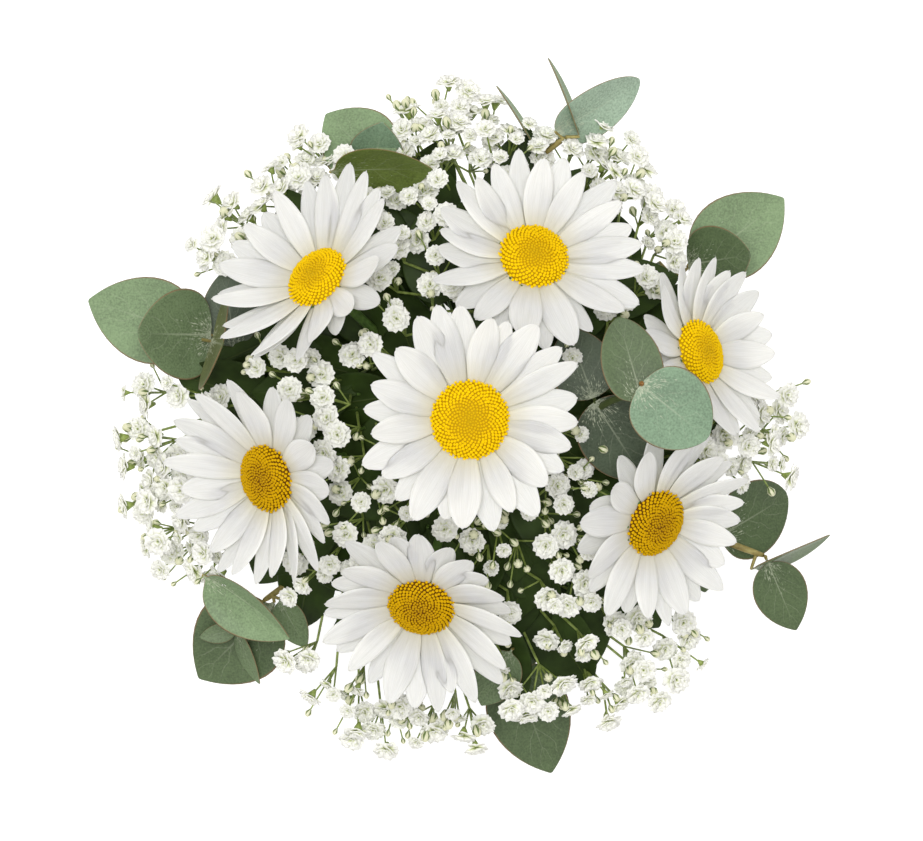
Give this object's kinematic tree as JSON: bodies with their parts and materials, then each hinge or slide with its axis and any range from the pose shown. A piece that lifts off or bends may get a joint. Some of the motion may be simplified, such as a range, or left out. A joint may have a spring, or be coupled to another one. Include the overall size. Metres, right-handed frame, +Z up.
{
  "type": "hand-tied bunch of daisies",
  "caption": "Hand-tied posy of white daisies with yellow centres, eucalyptus leaves and baby's breath; it stands on its cut stems as a table flower decoration.",
  "frame": {"origin": "centre of the bunch's box, on the surface under its cut stem ends", "axes": "+Z up from the cut stem ends to the flowers, -Y towards the side that is lowest when the dome of flowers is looked down on, +X to the right of that view"},
  "size_m": [0.2522, 0.2418, 0.2652],
  "materials": {
    "daisy_ray": "matte",
    "daisy_disc": "matte",
    "daisy_stem": "satin",
    "eucalyptus_leaf": "satin",
    "eucalyptus_twig": "satin",
    "gypsophila": "matte",
    "twine": "matte"
  },
  "bodies": {
    "root": {"daisy_bottom_disc": "daisy_disc", "daisy_bottom_rays": "daisy_ray", "daisy_bottom_stem": "daisy_stem", "daisy_centre_disc": "daisy_disc", "daisy_centre_rays": "daisy_ray", "daisy_centre_stem": "daisy_stem", "daisy_left_disc": "daisy_disc", "daisy_left_rays": "daisy_ray", "daisy_left_stem": "daisy_stem", "daisy_low_right_disc": "daisy_disc", "daisy_low_right_rays": "daisy_ray", "daisy_low_right_stem": "daisy_stem", "daisy_right_disc": "daisy_disc", "daisy_right_rays": "daisy_ray", "daisy_right_stem": "daisy_stem", "daisy_top_disc": "daisy_disc", "daisy_top_left_disc": "daisy_disc", "daisy_top_left_rays": "daisy_ray", "daisy_top_left_stem": "daisy_stem", "daisy_top_rays": "daisy_ray", "daisy_top_stem": "daisy_stem", "eucalyptus_bottom_leaf_back": "eucalyptus_leaf", "eucalyptus_bottom_leaf_outer": "eucalyptus_leaf", "eucalyptus_bottom_left_leaf_outer": "eucalyptus_leaf", "eucalyptus_bottom_left_leaf_rolled": "eucalyptus_leaf", "eucalyptus_bottom_left_stem": "eucalyptus_twig", "eucalyptus_bottom_stem": "eucalyptus_twig", "eucalyptus_inner_leaf_back": "eucalyptus_leaf", "eucalyptus_inner_leaf_low": "eucalyptus_leaf", "eucalyptus_inner_leaf_near": "eucalyptus_leaf", "eucalyptus_inner_leaf_upper": "eucalyptus_leaf", "eucalyptus_inner_stem": "eucalyptus_twig", "eucalyptus_left_leaf_edge": "eucalyptus_leaf", "eucalyptus_left_leaf_outer": "eucalyptus_leaf", "eucalyptus_left_leaf_round": "eucalyptus_leaf", "eucalyptus_left_leaf_under": "eucalyptus_leaf", "eucalyptus_left_stem": "eucalyptus_twig", "eucalyptus_right_leaf_back": "eucalyptus_leaf", "eucalyptus_right_leaf_edge": "eucalyptus_leaf", "eucalyptus_right_leaf_hanging": "eucalyptus_leaf", "eucalyptus_right_stem": "eucalyptus_twig", "eucalyptus_top_leaf_broad": "eucalyptus_leaf", "eucalyptus_top_leaf_short": "eucalyptus_leaf", "eucalyptus_top_leaf_tall": "eucalyptus_leaf", "eucalyptus_top_left_leaf_front": "eucalyptus_leaf", "eucalyptus_top_left_leaf_outer": "eucalyptus_leaf", "eucalyptus_top_left_stem": "eucalyptus_twig", "eucalyptus_top_right_leaf_outer": "eucalyptus_leaf", "eucalyptus_top_right_leaf_round": "eucalyptus_leaf", "eucalyptus_top_right_stem": "eucalyptus_twig", "eucalyptus_top_stem": "eucalyptus_twig", "gypsophila_bottom": "gypsophila", "gypsophila_left": "gypsophila", "gypsophila_low_left": "gypsophila", "gypsophila_low_right": "gypsophila", "gypsophila_right": "gypsophila", "gypsophila_top": "gypsophila", "gypsophila_top_left": "gypsophila", "gypsophila_top_right": "gypsophila", "tie": "twine"}
  },
  "joints": []
}
